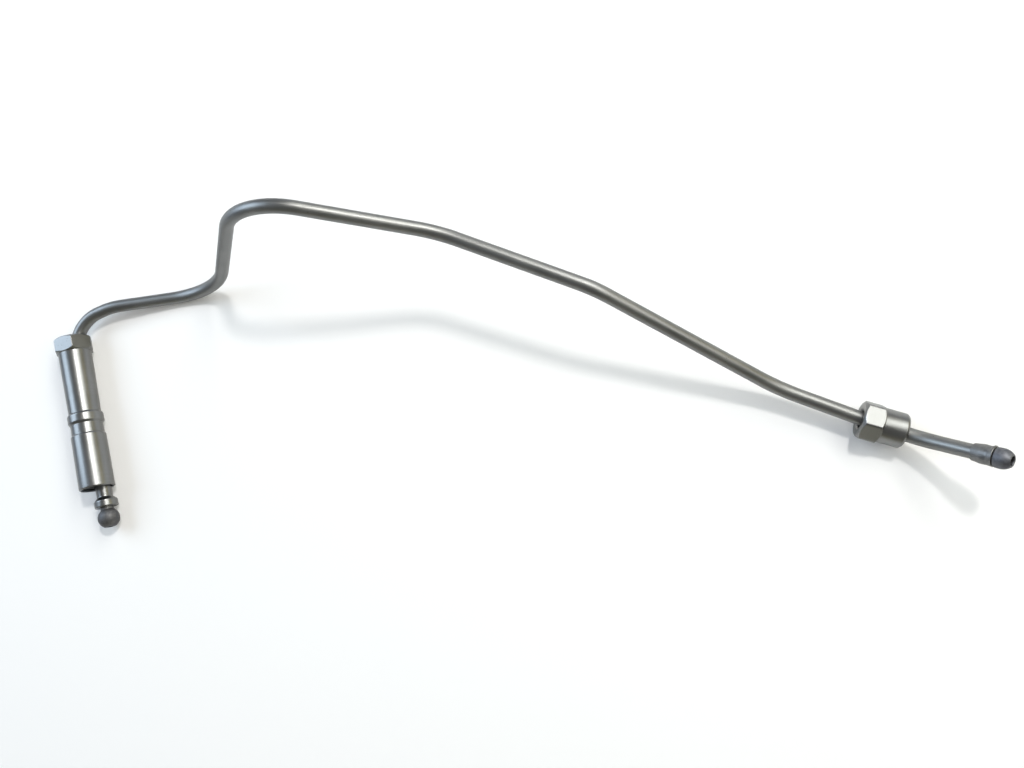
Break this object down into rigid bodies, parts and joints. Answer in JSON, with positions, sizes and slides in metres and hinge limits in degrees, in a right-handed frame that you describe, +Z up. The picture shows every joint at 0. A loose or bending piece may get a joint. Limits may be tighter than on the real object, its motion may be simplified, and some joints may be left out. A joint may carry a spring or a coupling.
{
  "type": "injector pipe",
  "caption": "Bent high-pressure fuel pipe with a ball end and a nose end, each held by a loose hexagon union nut.",
  "frame": {"origin": "centre of the bounding box, on the surface that the pipe lies on", "axes": "+X from the long nut's end to the nose, +Y away from the viewer, +Z up"},
  "size_m": [0.4502, 0.1391, 0.0822],
  "materials": {
    "tube_steel": "drawn, satin",
    "plated_steel": "turned and plated, bright",
    "bare_steel": "rough, grey"
  },
  "bodies": {
    "pipe": {"pipe": "tube_steel", "gland_sleeve": "plated_steel", "nose_sleeve": "bare_steel"},
    "gland_nut": {"gland_nut": "plated_steel"},
    "union_nut": {"union_nut": "plated_steel"}
  },
  "joints": [
    {"name": "gland_nut_spin", "type": "hinge", "parent": "pipe", "child": "gland_nut", "pos_m": [-0.21585, 0.0282, 0.0085], "axis": [0.2538, -0.9673, 0], "continuous": true},
    {"name": "union_nut_spin", "type": "hinge", "parent": "pipe", "child": "union_nut", "pos_m": [0.17212, -0.02067, 0.0093], "axis": [0.9519, -0.3001, -0.061], "continuous": true}
  ]
}
